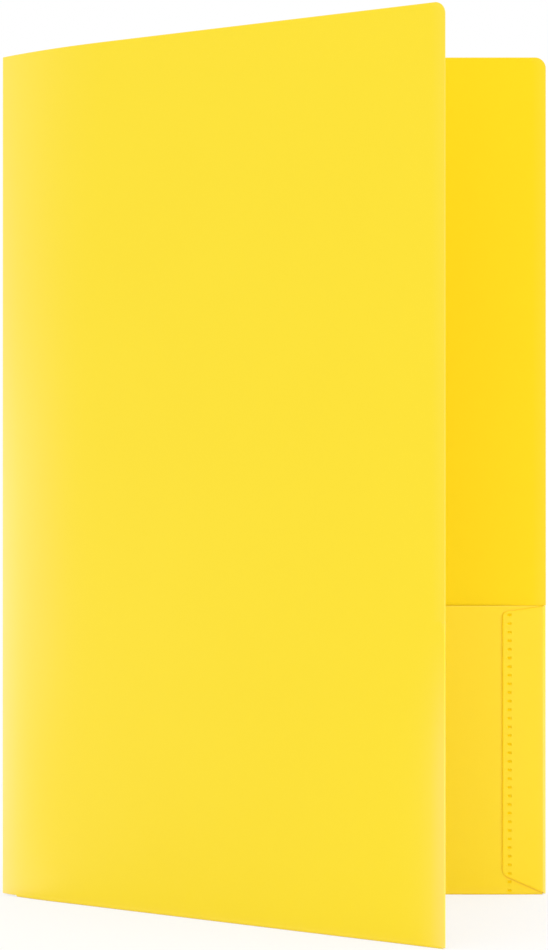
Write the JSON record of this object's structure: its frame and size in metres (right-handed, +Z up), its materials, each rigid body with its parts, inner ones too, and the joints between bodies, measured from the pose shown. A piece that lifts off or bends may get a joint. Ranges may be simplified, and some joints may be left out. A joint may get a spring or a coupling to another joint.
{
  "type": "two pocket folder",
  "caption": "Plastic two pocket folder standing ajar, its covers joined by a living hinge, with a folded and side-welded pocket inside each cover.",
  "frame": {"origin": "on the surface that the folder stands on, under the middle of its box", "axes": "+Z up along the spine, +X along the back cover from the spine to its outer edge, -Y towards the front cover"},
  "size_m": [0.239, 0.1508, 0.3683],
  "materials": {
    "polypropylene_sheet": "matte, fine embossed grain",
    "polypropylene_weld": "melted, smooth"
  },
  "bodies": {
    "back_leaf": {"back_cover": "polypropylene_sheet", "back_bottom_fold": "polypropylene_sheet", "back_pocket": "polypropylene_sheet", "back_side_fold": "polypropylene_sheet", "back_side_tab": "polypropylene_sheet", "back_weld_spots": "polypropylene_weld", "spine_hinge": "polypropylene_sheet"},
    "front_leaf": {"front_cover": "polypropylene_sheet", "front_bottom_fold": "polypropylene_sheet", "front_pocket": "polypropylene_sheet", "front_side_fold": "polypropylene_sheet", "front_side_tab": "polypropylene_sheet", "front_weld_spots": "polypropylene_weld"}
  },
  "joints": [
    {"name": "cover_swing", "type": "hinge", "parent": "back_leaf", "child": "front_leaf", "pos_m": [-0.1182, 0.07406, 0.184], "axis": [0, 0, -1], "range_deg": [-38, 142], "deforming": ["spine_hinge"]}
  ]
}
